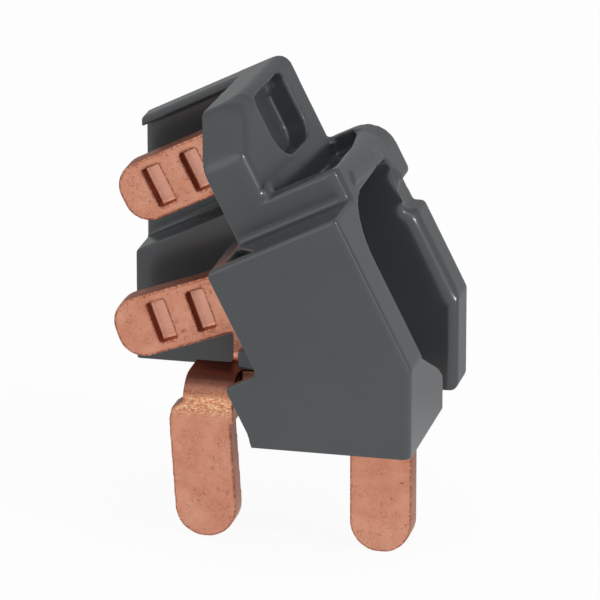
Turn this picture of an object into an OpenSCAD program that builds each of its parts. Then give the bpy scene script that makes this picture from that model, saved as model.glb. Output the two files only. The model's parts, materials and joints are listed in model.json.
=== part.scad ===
// Plug-in comb busbar feeder: two bent copper bars in one moulded cover.
// Millimetres, +Z up.  The origin lies midway between the two pins, on their
// mid-plane and level with the underside of the cover.
//
// Two frames are used.  The upright frame has X to the right, Y to the back and
// Z up.  The leaning frame is turned about Y, so that its first axis follows the
// outlet tabs and its third axis stands square to them.  Depths count from the
// front face of the cover until place() moves the origin to the pins.

/* [Layout] */
// Lean of the outlet tabs above the horizontal, in degrees
tilt = 26.75; // [20:0.25:35]
// Distance between the two pins, middle to middle
pole_pitch = 27.8; // [18:0.1:36]
// Depth of the cover from its front face to its back face
cover_depth = 41.5; // [38:0.5:50]
// Depth from the front face of the cover to the pins
pin_depth = 9.5; // [8.5:0.5:11]
// Gap kept between a copper bar and the moulding round it
bar_gap = 0.3; // [0.15:0.05:0.5]

/* [Copper] */
// Width of the copper bars
bar_w = 9.6; // [8:0.1:11]
// Thickness of the copper bars
bar_t = 4; // [3:0.5:5]
// Reach of the pins below the cover
pin_reach = 18.6; // [12:0.2:24]
// Slant of the left pin from the vertical, in degrees
pin_slant = 3.8; // [0:0.2:5]
// Corner radius at the outer end of a tab
tab_corner = 4; // [1:0.1:4.7]
// Inside radius of the bends
bend_in = 1.4; // [0.5:0.1:2]

/* [Grip recesses] */
// Width of a grip recess in a tab
grip_w = 2.8; // [1:0.1:4]
// Length of a grip recess
grip_l = 6.5; // [3:0.1:8]
// Depth of a grip recess
grip_sink = 1.6; // [0.5:0.1:2]
// Pitch of the two grip recesses
grip_pitch = 6.6; // [5:0.1:8]

/* [Outlet tabs] */
// Depth from the front face to the near tab
near_depth = 20; // [18:0.5:21]
// Lower edge of the near tab, at its root
near_low = 15.1; // [14:0.1:17]
// Reach of the near tab along the lean
near_reach = 23.3; // [16:0.1:25]
// Droop of the near tab below the lean, in degrees
near_droop = 6.8; // [0:0.2:8]
// Depth from the front face to the far tab
far_depth = 28; // [27:0.5:29]
// Lower edge of the far tab
far_low = 34.4; // [33.8:0.1:36]
// Reach of the far tab along the lean
far_reach = 14.9; // [10:0.1:18]

/* [Cover] */
// Wall thickness
wall = 1.9; // [1.6:0.1:2.4]
// Right edge of the cover in the upright frame
right_x = 20.5; // [19:0.1:22]
// Right side of the cover in the leaning frame
right_r = 24.7; // [24:0.1:26]
// Left edge of the front plate in the leaning frame
left_r = 2.4; // [1.5:0.1:3]
// Height of the lower storey in the leaning frame
ledge_p = 29.2; // [28:0.1:30]
// Height of the upper storey in the leaning frame
deck_p = 33.4; // [32.5:0.1:34]
// Depth of the ledge in front of the upper storey
ledge_depth = 10; // [8:0.5:12]
// Rise of the upper storey towards its front edge
deck_rise = 0.9; // [0:0.1:1.2]
// Height of the hood in the leaning frame
ridge_p = 48.5; // [47:0.1:50]
// Left edge of the back plate in the upright frame
back_left_x = -30.4; // [-33:0.1:-28]

/* [Hidden] */
$fn = 48;
slice = 0.3;
// Length that reaches past the part, for cuts
beyond = 60;

// Levels and depths that follow from the sizes above
pin_plane = pin_depth + bar_t / 2;
near_back = near_depth + bar_t;
far_back = far_depth + bar_t;
shelf_low = 2.8;
shelf_top = shelf_low + bar_t;
far_shelf_low = wall + bar_gap;
far_shelf_top = far_shelf_low + bar_t;
bend_out = bend_in + bar_t;

// Copper bars in plan
left_pin_x = -pole_pitch / 2 - 0.5;
right_pin_x = pole_pitch / 2;
shelf_left = -17.1;
riser_left = -11.65;
riser_right = riser_left + bar_w;
strip_left = 3;
strip_right = strip_left + bar_w;
far_root = 9.2;
// Place on the lean where the near tab starts to droop
droop_r = -6;
// Distance from the end of a tab to its first grip recess
near_grip = 6.2;
far_grip = 5;

// Moulding
strip_depth = 8;
front_round = 1.5;
deck_round = 4.8;
cove = 0.9;
edge_round = 0.9;
panel_round = 1.5;
pad_rise = 0.35;
hood_left = 5.5;
hood_right = 12.7;
hood_left_back = 8.1;
hood_right_back = 15.1;
hood_plan_angle = atan((hood_right_back - hood_right) / (cover_depth - ledge_depth));
hood_wall_r = (hood_right - ledge_depth * tan(hood_plan_angle)) * cos(hood_plan_angle);
divider_front = near_back + 0.5;
divider_back = far_depth - 0.5;
back_front = 34;
back_low_front = 33;
panel_front = cover_depth - 1.2;
void_r = strip_right + bar_gap + wall;
window_p = ledge_p - 0.6;
window_x = 12.4;
room_z = 10.9;
block_back = 23.9;

// Rib over the near bar's shelf
rib_depth = 3.2;
rib_rise = 3.1;

// Lower left of the front plate, with its small notch
front_left_x = -4.1;
notch_r = -3.2;
notch_low = 3.8;
notch_high = 11.7;
rear_left_x = -2.9;
rear_low = 8;

// Gap in the right edge of the back plate, and the plate's foot
gap_low = 18.6;
gap_high = 23.8;
gap_sink = 1.6;
gap_slope = 0.7;
foot_x = 12.5;
foot_drop = 0.9;

// Panel behind the tabs
low_top = 30.3;
low_bottom = 0.8;
panel_right = 10;
lip_front = 37;
lip_drop = 1.3;

// Hood and its slot
brow_depth = 9;
brow_drop = 6.7;
brow_round = 4;
ridge_round = 2.2;
slot_front = 22.6;
slot_back = 36.3;
slot_low = ridge_p - 12.6;
slot_high = ridge_p - 1.6;
slot_floor = 11;

// Block round the right pin
block_low = 5.4;
block_step = 7.7;
block_high = 13.4;

shoulder_z = (right_r - right_x * cos(tilt)) / sin(tilt);
steps = 8;

copper = [0.80, 0.52, 0.42];
anthracite = [0.31, 0.33, 0.34];

// ---------------------------------------------------------------- helpers

function unit(v) = v / norm(v);

// The points of one rounded corner b between its neighbours a and c
function corner(a, b, c, radius) =
    let (
        u = unit(a - b),
        v = unit(c - b),
        half = acos(u * v) / 2,
        middle = b + unit(u + v) * radius / sin(half),
        first = b + u * radius / tan(half),
        last = b + v * radius / tan(half)
    )
    [for (k = [0:steps]) middle + radius * unit(first + (last - first) * k / steps - middle)];

// An outline whose points are [x, y] or [x, y, corner radius]
function rounded(path) =
    let (n = len(path), flat = [for (q = path) [q[0], q[1]]])
    [for (i = [0:n - 1])
        each (len(path[i]) == 2
            ? [flat[i]]
            : corner(flat[(i + n - 1) % n], flat[i], flat[(i + 1) % n], path[i][2]))];

// A point of the leaning frame, in the upright frame
function leant(r, p) = [r * cos(tilt) - p * sin(tilt), r * sin(tilt) + p * cos(tilt)];

// The same, with a corner radius
function leant_corner(r, p, radius) = [leant(r, p)[0], leant(r, p)[1], radius];

// A flat outline of X and Z, drawn out in depth
module in_depth(front, back) {
    translate([0, back, 0]) rotate([90, 0, 0]) linear_extrude(back - front) children();
}

// A flat outline of depth and height, drawn out to the right
module to_right(left, right) {
    translate([left, 0, 0]) rotate([90, 0, 90]) linear_extrude(right - left) children();
}

// A plan outline, drawn out upwards
module upwards(low, high) {
    translate([0, 0, low]) linear_extrude(high - low) children();
}

module leaning() {
    rotate([0, -tilt, 0]) children();
}

module place() {
    translate([0, -pin_plane, 0]) children();
}

// ---------------------------------------------------------------- copper

// Side outline of a pin that bends back into a level shelf, and, where it
// rises, bends up again
module pin_and_shelf(low, high, back, rises) {
    polygon(rounded(concat(
        [
            [pin_depth, 0],
            [pin_depth + bar_t, 0],
            [pin_depth + bar_t, low, bend_in]
        ],
        rises
            ? [[back, low, bend_out], [back, high + bend_out], [back - bar_t, high + bend_out],
               [back - bar_t, high, bend_in]]
            : [[back, low], [back, high]],
        [[pin_depth, high, bend_out - 1]]
    )));
}

// A pin with a full round tip, hanging from the level of the underside
module pin(reach) {
    in_depth(pin_depth, pin_depth + bar_t) {
        translate([-bar_w / 2, bar_w / 2 - reach]) square([bar_w, reach - bar_w / 2]);
        translate([0, bar_w / 2 - reach]) circle(bar_w / 2);
    }
}

// A tab outline that ends on the left in two rounded corners
module tab(left, right, low, high) {
    polygon(rounded([
        [left, low, tab_corner], [right, low], [right, high], [left, high, tab_corner]
    ]));
}

// Two recesses across a tab, the first at a given place
module grips(first, low) {
    for (k = [0, 1])
        translate([first + k * grip_pitch, low + (bar_w - grip_l) / 2]) square([grip_w, grip_l]);
}

module near_bar() {
    color(copper) place() {
        translate([left_pin_x, 0, 0]) rotate([0, -pin_slant, 0]) pin(pin_reach);
        in_depth(pin_depth, pin_depth + bar_t)
            polygon([
                [left_pin_x - bar_w / 2, 0], [left_pin_x, 0], [left_pin_x, shelf_low],
                [shelf_left, shelf_low], [shelf_left - 0.4, shelf_low], [shelf_left - 1.7, shelf_low - 0.9]
            ]);
        // Bend, shelf and riser, cut to the bar's width
        intersection() {
            to_right(shelf_left, riser_right)
                pin_and_shelf(shelf_low, shelf_top, near_back, true);
            union() {
                translate([shelf_left, 0, -1]) cube([bar_w - 1.6, near_depth - bend_in, shelf_top + 1]);
                translate([riser_left, pin_depth + bar_t + bend_in, -1])
                    cube([bar_w, near_back, shelf_top + bend_out + 2]);
            }
        }
        difference() {
            in_depth(near_depth, near_back) {
                translate([riser_left, shelf_top + bend_in]) square([bar_w, near_low]);
                intersection() {
                    near_tab_place() tab(-near_reach - droop_r, 2 * near_reach, 0, bar_w);
                    translate([-2 * near_reach, 0])
                        square([2 * near_reach + riser_right, 2 * near_reach]);
                }
            }
            in_depth(near_depth - 1, near_depth + grip_sink)
                near_tab_place() grips(near_grip - near_reach - droop_r, 0);
        }
    }
}

// The drooping near tab's own frame, with its lower edge at zero
module near_tab_place() {
    rotate(tilt) translate([droop_r, near_low]) rotate(-near_droop) children();
}

// The plan of the far bar's shelf, which swings across to the right pin
module far_shelf_plan(gap) {
    polygon([
        [strip_left - 3.6 - gap, far_back + gap],
        [strip_left - 3.6 - gap, far_depth - bend_out],
        [right_pin_x - bar_w / 2 - gap, pin_depth + 2 * bar_t],
        [right_pin_x - bar_w / 2 - gap, pin_depth - gap],
        [right_pin_x + bar_w / 2 + gap, pin_depth - gap],
        [right_pin_x + bar_w / 2 + gap, pin_depth + 1.5 * bar_t],
        [strip_right - 2.4 + gap, far_depth - bend_out],
        [strip_right - 2.4 + gap, far_back + gap]
    ]);
}

module far_bar() {
    color(copper) place() {
        translate([right_pin_x, 0, 0]) pin(pin_reach + 0.2);
        intersection() {
            to_right(-bar_w, right_pin_x + bar_w)
                pin_and_shelf(far_shelf_low, far_shelf_top, far_back, true);
            upwards(-1, far_shelf_top + bend_in) far_shelf_plan(0);
        }
        leaning() difference() {
            in_depth(far_depth, far_back) {
                tab(-far_reach, far_root, far_low, far_low + bar_w);
                translate([strip_left, deck_p - wall]) square([far_root - strip_left, 2 * wall]);
            }
            in_depth(far_depth - 1, far_depth + grip_sink) grips(far_grip - far_reach, far_low);
        }
        in_depth(far_depth, far_back) intersection() {
            rotate(tilt) translate([strip_left, 0]) square([bar_w, deck_p - bar_gap]);
            translate([-bar_w * 2, far_shelf_top + bend_in]) square([bar_w * 4, deck_p + bar_w]);
        }
    }
}

// ---------------------------------------------------------------- cover

// Front edges that are rounded, with the plate on their right
front_runs = [
    [leant(left_r, ledge_p), leant(right_r, ledge_p)],
    [leant(right_r, ledge_p), [right_x, shoulder_z]],
    [[right_x, shoulder_z], [right_x, 0]]
];
panel_runs = [
    [leant(right_r, gap_low), [right_x, shoulder_z]],
    [[right_x, shoulder_z], [right_x, -foot_drop]]
];

// Outline of the front plate
module front_outline() {
    polygon(rounded([
        [front_left_x, 0],
        [right_x, 0],
        [right_x, shoulder_z],
        leant_corner(right_r, ledge_p, 0.8),
        leant_corner(left_r, ledge_p, 1),
        leant_corner(left_r, notch_high, 1),
        leant_corner(notch_r, notch_high, 0.5),
        leant(notch_r, notch_low)
    ]));
}

// What rounds the front edge of a plate along a run from a to b, which has
// the plate on its right
module rounded_edge(a, b, front, radius) {
    run = b - a;
    translate([a[0], front, a[1]]) rotate([0, -atan2(run[1], run[0]), 0])
        to_right(-radius, norm(run) + radius) difference() {
            translate([-1, -radius]) square(1 + radius);
            translate([radius, -radius]) circle(radius);
        }
}

// Raised pad on the right side, above the window
module pad() {
    leaning() to_right(right_r - 1, right_r + pad_rise) polygon([
        [14.6, window_p + 1.6], [15.4, window_p + 3.4], [31.6, window_p + 2], [31.6, window_p + 0.1]
    ]);
}

// Fillet where the ledge meets the upper storey
module ledge_cove() {
    leaning() to_right(hood_left, right_r - front_round) difference() {
        translate([ledge_depth - cove, ledge_p - 0.5]) square(cove + 0.5);
        translate([ledge_depth - cove, ledge_p + cove]) circle(cove);
    }
}

// Rib over the near bar's shelf, clear of the riser's face
module riser_rib() {
    translate([riser_left + 2, pin_depth + bar_t + 1, shelf_top + bar_gap])
        cube([bar_w + 1, rib_depth, rib_rise]);
}

// Outline of the body between the divider and the back plate
module rear_outline() {
    polygon([
        [rear_left_x, 0],
        [right_x, 0],
        [right_x, shoulder_z],
        leant(right_r, ledge_p),
        leant(strip_left - bar_gap - wall, ledge_p),
        leant(strip_left - bar_gap - wall, rear_low)
    ]);
}

// Outline of the back plate, right of the hood's left edge
module back_outline() {
    polygon(rounded([
        [front_left_x, 0],
        [foot_x - foot_drop / 2, 0],
        [foot_x + foot_drop / 2, -foot_drop],
        [right_x, -foot_drop, foot_drop],
        [right_x, shoulder_z],
        leant_corner(right_r, gap_low, 0.8),
        leant(right_r - gap_sink, gap_low + gap_slope),
        leant(right_r - gap_sink, gap_high - gap_slope),
        leant_corner(right_r, gap_high, 0.6),
        leant_corner(right_r, deck_p, deck_round),
        leant(hood_left_back, deck_p)
    ]));
}

// The upper storey is a loft: its front end is taller and has a tighter corner
module upper_storey() {
    leaning() hull() {
        for (turn = [0:45:90])
            storey_section(
                ledge_depth + front_round * (1 - cos(turn)), hood_left, deck_rise,
                front_round * (1 - sin(turn))
            );
        storey_section(cover_depth - slice, hood_left_back, 0, 0);
    }
}

// A thin slice of the upper storey at one depth, drawn in by a margin on the right
module storey_section(depth, left, rise, margin) {
    radius = deck_round * (depth - ledge_depth) / (cover_depth - ledge_depth) + 1 - rise;
    in_depth(depth, depth + slice) polygon(rounded([
        [left, ledge_p - wall], [right_r - margin, ledge_p - wall],
        [right_r - margin, deck_p + rise - margin / 2, max(radius, 0.8)],
        [left, deck_p + rise - margin / 2]
    ]));
}

// The hood over the far tab, slanted in plan, with a sloped brow
module hood() {
    leaning() intersection() {
        upwards(ledge_p, ridge_p + 1) polygon(rounded([
            [hood_left, ledge_depth], [hood_right, ledge_depth, 2],
            [hood_right_back, cover_depth], [hood_left_back, cover_depth]
        ]));
        to_right(0, beyond) polygon(hood_side(0));
        rotate([0, 0, -hood_plan_angle]) in_depth(0, beyond) polygon(rounded([
            [0, ledge_p], [hood_wall_r, ledge_p], [hood_wall_r, ridge_p, ridge_round], [0, ridge_p]
        ]));
    }
}

// Side outline of the hood, drawn in by a margin
function hood_side(margin) = rounded([
    [ledge_depth + margin, ledge_p],
    [cover_depth, ledge_p],
    [cover_depth, ridge_p - margin],
    [ledge_depth + brow_depth, ridge_p - margin, brow_round],
    [ledge_depth + margin, ridge_p - brow_drop - margin / 2, brow_round]
]);

// The tall plate behind the tabs
module back_plate() {
    in_depth(back_front, cover_depth) back_outline();
    in_depth(back_low_front, cover_depth) polygon([
        [back_left_x, low_bottom],
        [0, low_bottom],
        leant(panel_right - 1, low_top),
        [back_left_x, back_left_x * tan(tilt) + low_top / cos(tilt)]
    ]);
    in_depth(panel_front, cover_depth) back_panel_outline(ridge_p);
    intersection() {
        in_depth(lip_front, cover_depth) back_panel_outline(ridge_p);
        leaning() translate([-beyond, 0, ridge_p - lip_drop]) cube([2 * beyond, cover_depth, lip_drop]);
    }
}

module back_panel_outline(top) {
    polygon([
        [back_left_x, low_bottom + wall],
        leant(panel_right, low_top - wall),
        leant(panel_right, top),
        leant((back_left_x + top * sin(tilt)) / cos(tilt), top)
    ]);
}

// Space for the near bar, open to the left
module near_space() {
    in_depth(wall, divider_front) polygon([
        [-beyond, wall],
        [-1, wall],
        [-1, far_shelf_top + bar_gap + wall],
        leant(void_r - wall, -1) + [0, 3],
        leant(void_r - wall, ledge_p - wall),
        leant(-beyond, ledge_p - wall)
    ]);
}

// Space for the far bar
module far_space() {
    leaning() in_depth(divider_back, far_back + 0.5)
        translate([strip_left - bar_gap, 2]) square([bar_w + 2 * bar_gap, deck_p - 2]);
    upwards(wall, far_shelf_top + bar_gap) far_shelf_plan(bar_gap);
    intersection() {
        upwards(wall, far_shelf_top + bend_in + 1) far_shelf_plan(bar_gap);
        translate([-bar_w, far_depth - bend_in - bar_gap, 0]) cube([4 * bar_w, bend_out + 1, 4 * bar_t]);
    }
    translate([right_pin_x - bar_w / 2 - bar_gap, pin_depth - bar_gap, -1])
        cube([bar_w + 2 * bar_gap, bar_t + bend_in + 2 * bar_gap, 5]);
}

// Space under the hood, open to the left
module hood_space() {
    leaning() intersection() {
        to_right(-beyond, far_root + bar_gap) polygon(hood_side(wall));
        translate([-beyond, ledge_depth, ledge_p + wall])
            cube([2 * beyond, panel_front - ledge_depth, ridge_p]);
    }
}

// Window in the right side, open at the bottom
module side_window() {
    leaning() to_right(void_r, beyond) polygon(rounded([
        [strip_depth, -2 * ledge_p],
        [back_front, -2 * ledge_p],
        [back_front, window_p, 2],
        [strip_depth, window_p, 9]
    ]));
    in_depth(block_back - 1, back_front) polygon([
        [window_x, -beyond],
        [beyond, -beyond],
        [beyond, room_z],
        [window_x, room_z]
    ]);
}

// Room behind the front plate, entered through the window
module side_room() {
    inner_x = right_x - wall;
    inner_r = right_r - wall;
    in_depth(wall, strip_depth + 1) polygon([
        [(void_r - room_z * sin(tilt)) / cos(tilt), room_z],
        [inner_x, room_z],
        [inner_x, (inner_r - inner_x * cos(tilt)) / sin(tilt)],
        leant(inner_r, ledge_p - wall),
        leant(void_r, ledge_p - wall)
    ]);
}

// Block round the right pin, with a sloped top
module side_block() {
    to_right(right_x - bar_w, right_x) polygon(rounded([
        [strip_depth - 2, 0],
        [block_back, 0],
        [block_back, block_low, 2],
        [block_back - 3.4, block_step],
        [strip_depth + 0.7, block_high],
        [strip_depth - 2, block_high]
    ]));
}

// Recess in the top, between the hood and the right side
module deck_recess() {
    leaning() upwards(window_p + wall, deck_p + 2) polygon([
        [hood_right + 0.4, ledge_depth + 3],
        [right_r - wall, ledge_depth + 3],
        [right_r - wall - 0.8, 28],
        [right_r - wall - 2.8, cover_depth - 2],
        [hood_right_back + 0.4, cover_depth - 2]
    ]);
}

// Small three-cornered hole where the ledge meets the left end of the upper storey
module ledge_hole() {
    leaning() upwards(ledge_p - wall - 1, ledge_p + 1) polygon([
        [5.6, wall], [10.3, wall], [5.8, ledge_depth - 1.4]
    ]);
}

// Blind slot in the right wall of the hood
module hood_slot() {
    leaning() to_right(slot_floor, beyond) polygon(rounded([
        [slot_front, slot_low, 5],
        [slot_back, slot_low, 3],
        [slot_back, slot_high, 1.5],
        [slot_front, slot_high, 1.5]
    ]));
}

module cover() {
    color(anthracite) place() difference() {
        union() {
            difference() {
                union() {
                    in_depth(0, divider_front) front_outline();
                    in_depth(divider_front, back_front) rear_outline();
                    upper_storey();
                    ledge_cove();
                    pad();
                }
                near_space();
                side_room();
                side_window();
            }
            side_block();
            hood();
            back_plate();
            riser_rib();
        }
        for (run = front_runs) rounded_edge(run[0], run[1], 0, edge_round);
        for (run = panel_runs) rounded_edge(run[0], run[1], back_front, panel_round);
        far_space();
        hood_space();
        deck_recess();
        hood_slot();
        ledge_hole();
    }
}

cover();
near_bar();
far_bar();
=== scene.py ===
"""Looks for the comb busbar: two blanked copper bars in a leaning moulded cover."""
import json

import bpy
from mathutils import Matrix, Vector


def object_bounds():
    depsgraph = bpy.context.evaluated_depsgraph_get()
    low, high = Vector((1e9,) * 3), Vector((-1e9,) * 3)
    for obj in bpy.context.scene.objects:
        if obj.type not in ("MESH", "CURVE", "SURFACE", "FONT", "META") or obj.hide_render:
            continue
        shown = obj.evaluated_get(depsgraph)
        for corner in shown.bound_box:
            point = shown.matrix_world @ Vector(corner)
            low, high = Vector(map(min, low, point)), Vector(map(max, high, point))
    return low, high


MM = 0.001
RECESS_DEPTH = 1.6  # of the two marks in each tab, in millimetres
FLOOR_SIZE = 6  # metres
WHITE_SHARE = 0.93  # of the floor's surface that glows; the rest is paint, and holds the shadow
ROOM_LIGHT = 0.68  # of the white room, as it lights the part
BACK_GLOW = 0.38  # of the white room and floor, as reflections show them behind the part

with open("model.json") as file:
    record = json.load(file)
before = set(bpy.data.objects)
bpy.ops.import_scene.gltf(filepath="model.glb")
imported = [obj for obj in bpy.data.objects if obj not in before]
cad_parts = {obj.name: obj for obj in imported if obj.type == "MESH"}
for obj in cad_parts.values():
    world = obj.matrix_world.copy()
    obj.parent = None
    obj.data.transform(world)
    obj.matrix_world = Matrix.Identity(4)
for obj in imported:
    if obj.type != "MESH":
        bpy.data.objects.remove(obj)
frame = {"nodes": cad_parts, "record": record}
cad_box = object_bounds()
low, high = cad_box
cover, near_bar, far_bar = (frame["nodes"][name] for name in ("cover", "near_bar", "far_bar"))
tab_faces = [  # how far back each tab's front face stands, in millimetres
    mount["pos_m"][1] / MM for mount in frame["record"]["mounts"]
    if mount["name"] in ("near_tab_face", "far_tab_face")
]


# ------------------------------------------------------------------ materials

def srgb(hex_code):
    """A hex colour as linear RGBA."""
    parts = [int(hex_code[i:i + 2], 16) / 255 for i in (1, 3, 5)]
    return [c / 12.92 if c <= 0.04045 else ((c + 0.055) / 1.055) ** 2.4 for c in parts] + [1]


def add(tree, kind, settings=None, **links):
    """Adds a node with its settings, and its links by name of the input, or by number as in i0.

    A node stands for its first output, and a hex code for its colour. The setting "stops" holds
    the (place, hex code) pairs of a colour ramp.
    """
    node = tree.nodes.new(kind)
    settings = dict(settings or {})
    for number, (place, colour) in enumerate(settings.pop("stops", [])):
        stops = node.color_ramp.elements
        stop = stops[number] if number < 2 else stops.new(1)
        stop.position, stop.color = place, srgb(colour)
    for name, value in settings.items():
        setattr(node, name, value)
    for name, value in links.items():
        socket = node.inputs[int(name[1:]) if name[1:].isdigit() else name.replace("_", " ")]
        if isinstance(value, bpy.types.Node):
            value = value.outputs[0]
        if isinstance(value, str):
            value = srgb(value)
        if isinstance(value, bpy.types.NodeSocket):
            tree.links.new(value, socket)
        else:
            socket.default_value = value
    return node


def mask(tree, *steps, within=1.0):
    """Where a finish shows, from steps of (value, none of it, all of it), which multiply."""
    for value, none, whole in steps:
        step = add(tree, "ShaderNodeMapRange", Value=value, From_Min=none, From_Max=whole)
        within = add(tree, "ShaderNodeMath", {"operation": "MULTIPLY"}, i0=within, i1=step)
    return within


def new_material(name):
    """An empty material, its node tree, and the place on the surface in millimetres."""
    material = bpy.data.materials.new(name)
    material.use_nodes = True
    tree = material.node_tree
    tree.nodes.clear()
    place = add(
        tree, "ShaderNodeVectorMath", {"operation": "SCALE"},
        i0=add(tree, "ShaderNodeTexCoord").outputs["Object"], Scale=1 / MM
    )
    return material, tree, place


def moulded_polyamide():
    """Anthracite polyamide 6, injection moulded in a polished mould.

    To the eye it is satin, with crisp lights along its rounded edges, a tone that drifts a
    little over 22 mm, and a skin grain, drawn at 0.35 mm so that it shows at all.
    """
    material, tree, place = new_material("moulded_polyamide")
    drift = add(tree, "ShaderNodeTexNoise", Vector=place, Scale=1 / 22, Detail=3.0)
    grain = add(tree, "ShaderNodeTexNoise", Vector=place, Scale=1 / 0.35, Detail=2.0)
    tone = add(
        tree, "ShaderNodeValToRGB", {"stops": [(0.3, "#3C4043"), (0.7, "#424649")]}, Fac=drift
    )
    # A finish's roughness doesn't cross 0.27, where the denoiser would leave a contour line
    gloss = add(tree, "ShaderNodeMapRange", Value=drift, To_Min=0.20, To_Max=0.26)
    skin = add(tree, "ShaderNodeBump", Height=grain, Strength=0.1, Distance=0.02 * MM)
    shader = add(
        tree, "ShaderNodeBsdfPrincipled",
        Base_Color=tone, Roughness=gloss, IOR=1.53, Normal=skin
    )
    add(tree, "ShaderNodeOutputMaterial", Surface=shader)
    return material


def blanked_copper():
    """Bare copper strip, rolled, blanked and bent.

    To the eye it is a matt pink skin in soft clouds, with dark scuffs, torn side faces,
    brown edges under a painted highlight, tab floors painted pale as painted light, painted
    glints on the pin's bend, dark streaks above it, and painted shade on the shelf behind it.
    Scuffs and grain are drawn coarser than the real ones, so that they show.
    """
    material, tree, place = new_material("blanked_copper")
    # In millimetres, back from the pins' middle and up from the cover's underside
    depth, height = add(tree, "ShaderNodeSeparateXYZ", Vector=place).outputs[1:]
    surface = add(tree, "ShaderNodeNewGeometry")
    arris = surface.outputs["Pointiness"]
    facing = add(tree, "ShaderNodeSeparateXYZ", Vector=surface.outputs["Normal"]).outputs["Y"]
    sideways = add(tree, "ShaderNodeMath", {"operation": "ABSOLUTE"}, i0=facing)
    # Patterns by the size of their features in millimetres
    cloud, gathering, speckle, wander, ragged, highlight_breakup, sheen = (
        add(tree, "ShaderNodeTexNoise", Vector=place, Scale=1 / size, **noise)
        for size, noise in (
            (5.0, {"Detail": 5.0, "Roughness": 0.65}),
            (3.0, {"Detail": 2.0}),
            (0.7, {"Detail": 6.0, "Roughness": 0.75, "Distortion": 1.0}),
            (1.3, {"Detail": 6.0, "Roughness": 0.7, "Distortion": 3.0}),
            (0.5, {"Detail": 4.0}),
            (0.9, {"Detail": 3.0}),
            (0.4, {"Detail": 5.0, "Roughness": 0.7}),
        )
    )
    # Grain of the stretched bend, drawn out along X
    drawn_out = add(
        tree, "ShaderNodeVectorMath", {"operation": "MULTIPLY"}, i0=place, i1=(0.55, 1, 1.5)
    )
    grain = add(
        tree, "ShaderNodeTexNoise", Vector=drawn_out, Scale=1 / 0.3, Detail=4.0, Distortion=0.8
    )

    # Floors of the recesses, painted paler: painted light that lifts the shade falling in them
    floors_painted_light = 0.0
    for face in tab_faces:
        floor = face + RECESS_DEPTH
        pressed = mask(
            tree, (depth, floor - 0.8, floor - 0.3), (depth, floor + 0.7, floor + 0.3),
            (facing, -0.8, -0.95)
        )
        floors_painted_light = add(tree, "ShaderNodeMath", {"operation": "ADD"}, i0=floors_painted_light, i1=pressed)
    # Side faces, which the blanking tool tore, and so darker than the rolled ones
    torn = mask(tree, (sideways, 0.7, 0.35))
    # Handling scuffs gather in patches, with few on the floors: dark specks, and hairlines that
    # follow the crests of a noise
    open_skin = add(tree, "ShaderNodeMapRange", Value=floors_painted_light, To_Min=1.0, To_Max=0.15)
    patch = mask(tree, (gathering, 0.38, 0.52), within=open_skin)
    specks = mask(tree, (speckle, 0.43, 0.36), within=patch)
    crest = add(tree, "ShaderNodeMath", {"operation": "PINGPONG"}, i0=wander, i1=0.5)
    hairlines = mask(tree, (crest, 0.482, 0.497), within=patch)
    # Edges: a painted highlight on the arris, broken up by noise, and browner beside it
    beside = mask(tree, (arris, 0.505, 0.52), (arris, 0.56, 0.54), (ragged, 0.38, 0.55))
    painted_edge_highlight = mask(tree, (arris, 0.54, 0.60), (highlight_breakup, 0.42, 0.6))
    # Outside of the pin's bend, dark broken streaks above it, and painted shade on the shelf
    # behind it
    outside = (depth, 6, 2)
    bend = mask(tree, (height, 0.4, 2.2), (height, 5.6, 3.8), outside)
    dark_streaks = mask(tree, (height, 3.6, 4.2), (height, 5.2, 4.6), outside, (grain, 0.46, 0.54))
    shelf_painted_shade = mask(tree, (height, 3.8, 6.2), (height, 8.0, 7.2), (depth, 8.2, 7.2))

    tint = add(
        tree, "ShaderNodeValToRGB",
        {"stops": [(0.3, "#C8856D"), (0.5, "#CF9077"), (0.72, "#D79D84")]}, Fac=cloud
    )
    # Painted glints on the pin's bend: bright flecks over its grain, between darker ones
    painted_glints = add(
        tree, "ShaderNodeValToRGB",
        {"stops": [(0.38, "#B06A48"), (0.5, "#DB9C74"), (0.66, "#FFE0B8")]}, Fac=grain
    )
    # Tints, painted light and painted shade laid over the rolled skin in turn.
    # A Mix node's colour is its third output.
    for where, strength, colour in (
        (torn, 0.5, "#A35E4A"),
        # painted light: the recess floors made paler
        (floors_painted_light, 0.6, "#DDA592"),
        # painted glints on the bend
        (bend, 0.85, painted_glints),
        # painted shade on the shelf, under the cover
        (shelf_painted_shade, 0.88, "#50302C"),
        (dark_streaks, 0.7, "#6A3626"),
        (hairlines, 0.75, "#8F5640"),
        (specks, 0.7, "#844733"),
        (beside, 0.65, "#7C4130"),
        # painted highlight along the arris
        (painted_edge_highlight, 0.6, "#F2BC93"),
    ):
        share = add(tree, "ShaderNodeMath", {"operation": "MULTIPLY"}, i0=where, i1=strength)
        tint = add(
            tree, "ShaderNodeMix", {"data_type": "RGBA"}, Factor=share, i6=tint, i7=colour
        ).outputs[2]

    matt = add(
        tree, "ShaderNodeMapRange", Value=sheen,
        From_Min=0.3, From_Max=0.7, To_Min=0.32, To_Max=0.52
    )
    gloss = add(tree, "ShaderNodeMix", {"data_type": "FLOAT"}, Factor=bend, i2=matt, i3=0.29)
    coarseness = add(tree, "ShaderNodeMapRange", Value=bend, To_Min=0.08, To_Max=1.0)
    peel = add(tree, "ShaderNodeBump", Height=grain, Strength=coarseness, Distance=0.1 * MM)
    dents = add(
        tree, "ShaderNodeBump", Height=specks, Normal=peel, Strength=0.5, Distance=-0.04 * MM
    )
    shader = add(
        tree, "ShaderNodeBsdfPrincipled",
        Base_Color=tint, Metallic=1.0, Roughness=gloss, Normal=dents
    )
    add(tree, "ShaderNodeOutputMaterial", Surface=shader)
    return material


# ---------------------------------------------------------------------- skins

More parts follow.
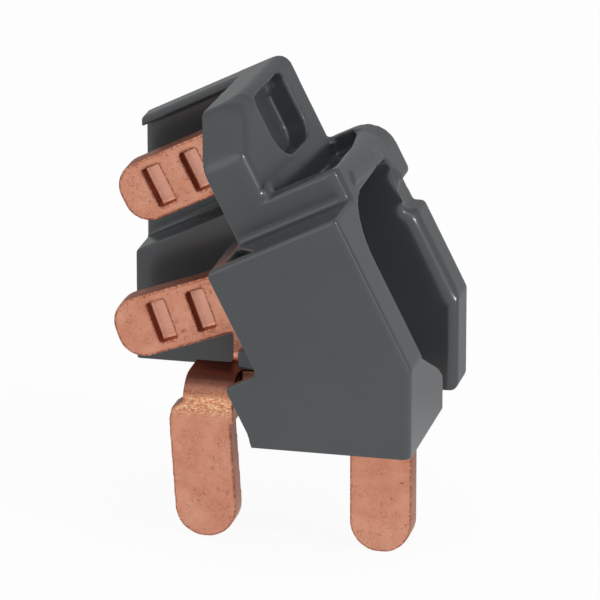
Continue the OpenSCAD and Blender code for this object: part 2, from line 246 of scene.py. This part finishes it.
def eased_edges(runs, passes):
    """Nodes that melt edges away along runs of (start, end, radius), in millimetres.

    The melting is whole out to 0.4 of the radius, and fades to nothing at the radius.
    """
    tree = bpy.data.node_groups.new("ease", "GeometryNodeTree")
    for way in ("INPUT", "OUTPUT"):
        tree.interface.new_socket("Geometry", in_out=way, socket_type="NodeSocketGeometry")
    inlet = add(tree, "NodeGroupInput")
    place = add(tree, "GeometryNodeInputPosition")
    share = 0.0
    for start, end, radius in runs:
        start = Vector(start) * MM
        run = Vector(end) * MM - start
        offset = add(tree, "ShaderNodeVectorMath", {"operation": "SUBTRACT"}, i0=place, i1=start)
        travel = add(
            tree, "ShaderNodeVectorMath", {"operation": "DOT_PRODUCT"},
            i0=offset, i1=run / run.length_squared
        ).outputs["Value"]
        along = add(tree, "ShaderNodeClamp", Value=travel)
        foot = add(tree, "ShaderNodeVectorMath", {"operation": "SCALE"}, i0=run, Scale=along)
        gap = add(
            tree, "ShaderNodeVectorMath", {"operation": "DISTANCE"}, i0=offset, i1=foot
        ).outputs["Value"]
        near = add(
            tree, "ShaderNodeMapRange", Value=gap,
            From_Min=radius * MM, From_Max=0.4 * radius * MM
        )
        share = add(tree, "ShaderNodeMath", {"operation": "MAXIMUM"}, i0=share, i1=near)
    melted = add(
        tree, "GeometryNodeBlurAttribute", {"data_type": "FLOAT_VECTOR"},
        Value=place, Iterations=passes, Weight=share
    )
    moved = add(tree, "GeometryNodeSetPosition", Geometry=inlet, Position=melted)
    add(tree, "NodeGroupOutput", i0=moved)
    return tree


def dress(node, material, voxel, passes, kept=1.0, ease=None):
    """Gives a CAD node its material, and a skin whose edges are softly rounded.

    The skin is remeshed at the voxel size in millimetres and smoothed a few times. Then it is
    thinned to the share of its triangles that is kept.
    """
    node.data.materials.clear()
    node.data.materials.append(material)
    weld = node.modifiers.new("weld", "WELD")
    weld.merge_threshold = 0.002 * MM
    skin = node.modifiers.new("skin", "REMESH")
    skin.mode = "VOXEL"
    skin.voxel_size = voxel * MM
    skin.use_smooth_shade = True
    soften = node.modifiers.new("soften", "SMOOTH")
    soften.factor = 0.5
    soften.iterations = passes
    if ease:
        node.modifiers.new("ease", "NODES").node_group = ease
    thin = node.modifiers.new("thin", "DECIMATE")
    thin.ratio = kept


soft_edges = eased_edges([
    ((-10.1, 7.4, 48.4), (-8.2, 1.7, 44.9), 3.2),  # hood, from its ridge to its front wall
    ((-10.6, 24.5, 45.7), (-10.6, 20.9, 45.5), 1.6),  # near top corner of the hood's slot
    ((-4.3, -0.4, 36.6), (-0.9, 28.6, 37.0), 1.3),  # foot of the hood at the recess in the top
    ((5.2, 1.0, 41.2), (3.6, 26.0, 39.4), 1.4),  # right rim of that recess
    ((12.0, 23.2, 27.6), (10.4, 23.2, 33.0), 1.8),  # back wall of the side pocket, at its notch
    ((11.7, 22.9, 28.0), (18.2, 22.9, 15.0), 2.4),  # below it, where it rolls into the strip
], passes=80)
dress(cover, moulded_polyamide(), voxel=0.25, passes=8, kept=0.3, ease=soft_edges)
copper = blanked_copper()
for bar in (near_bar, far_bar):
    dress(bar, copper, voxel=0.2, passes=4)


# ---------------------------------------------------------------------- stage

def studio_white():
    """White painted floor, which stays white to the eye and keeps a soft shadow."""
    material, tree, place = new_material("studio_white")
    rays = add(tree, "ShaderNodeLightPath").outputs
    seen = add(
        tree, "ShaderNodeMath", {"operation": "MAXIMUM"},
        i0=rays["Is Camera Ray"], i1=rays["Is Glossy Ray"]
    )
    share = add(tree, "ShaderNodeMath", {"operation": "MULTIPLY"}, i0=seen, i1=WHITE_SHARE)
    # In reflections it dims steadily, from 10 mm in front of the pins to 70 mm behind them
    dim = add(
        tree, "ShaderNodeMapRange",
        Value=add(tree, "ShaderNodeSeparateXYZ", Vector=place).outputs["Y"],
        From_Min=-10, From_Max=70, To_Min=1.0, To_Max=BACK_GLOW
    )
    level = add(
        tree, "ShaderNodeMath", {"operation": "MAXIMUM"}, i0=rays["Is Camera Ray"], i1=dim
    )
    paint = add(tree, "ShaderNodeBsdfDiffuse", Color="#F7F7F7")
    glow = add(tree, "ShaderNodeEmission", Color="#FFFFFF", Strength=level)
    both = add(tree, "ShaderNodeMixShader", i0=share, i1=paint, i2=glow)
    add(tree, "ShaderNodeOutputMaterial", Surface=both)
    return material


def white_room():
    """White room, plain to the eye and dimmer as a light. In reflections its back is dim."""
    world = bpy.data.worlds.new("studio")
    world.use_nodes = True
    tree = world.node_tree
    tree.nodes.clear()
    rays = add(tree, "ShaderNodeLightPath").outputs
    plain = add(
        tree, "ShaderNodeMapRange", Value=rays["Is Camera Ray"], To_Min=ROOM_LIGHT, To_Max=1.0
    )
    way = add(tree, "ShaderNodeTexCoord").outputs["Generated"]
    dim = add(
        tree, "ShaderNodeMapRange",
        Value=add(tree, "ShaderNodeSeparateXYZ", Vector=way).outputs["Y"],
        From_Min=-0.1, From_Max=0.45, To_Min=1.0, To_Max=BACK_GLOW
    )
    strength = add(
        tree, "ShaderNodeMix", {"data_type": "FLOAT"},
        Factor=rays["Is Glossy Ray"], i2=plain, i3=dim
    )
    glow = add(tree, "ShaderNodeBackground", Color="#FFFFFF", Strength=strength)
    add(tree, "ShaderNodeOutputWorld", Surface=glow)
    return world


bpy.ops.mesh.primitive_plane_add(size=FLOOR_SIZE, location=(0, 0, low.z))
floor = bpy.context.object
floor.name = "floor"
floor.data.materials.append(studio_white())
bpy.context.scene.world = white_room()

# Square lamps that look at the middle of the part: place, side in metres, watts
middle = (low + high) / 2
for name, place, side, power in (
    ("key", (0.55, -0.10, 0.75), 0.5, 0.8),
    ("glint", (0.75, -0.28, 0.42), 0.06, 2.4),
    ("fill", (-0.5, -0.6, 0.5), 0.5, 0.6),
):
    lamp = bpy.data.lights.new(name, "AREA")
    lamp.size = side
    lamp.energy = power
    holder = bpy.data.objects.new(name, lamp)
    bpy.context.collection.objects.link(holder)
    holder.location = place
    holder.rotation_euler = (middle - Vector(place)).to_track_quat("-Z", "Y").to_euler()

# A long lens from far off, to the right of the part and above it
camera = bpy.data.cameras.new("camera")
camera.sensor_width = 36
camera.lens = 360
eye = bpy.data.objects.new("camera", camera)
bpy.context.collection.objects.link(eye)
eye.location = (0.19662, -0.83464, 0.31363)
eye.rotation_euler = Vector((-0.2160, 0.9211, -0.3239)).to_track_quat("-Z", "Y").to_euler()
bpy.context.scene.camera = eye
bpy.context.scene.view_settings.view_transform = "Standard"
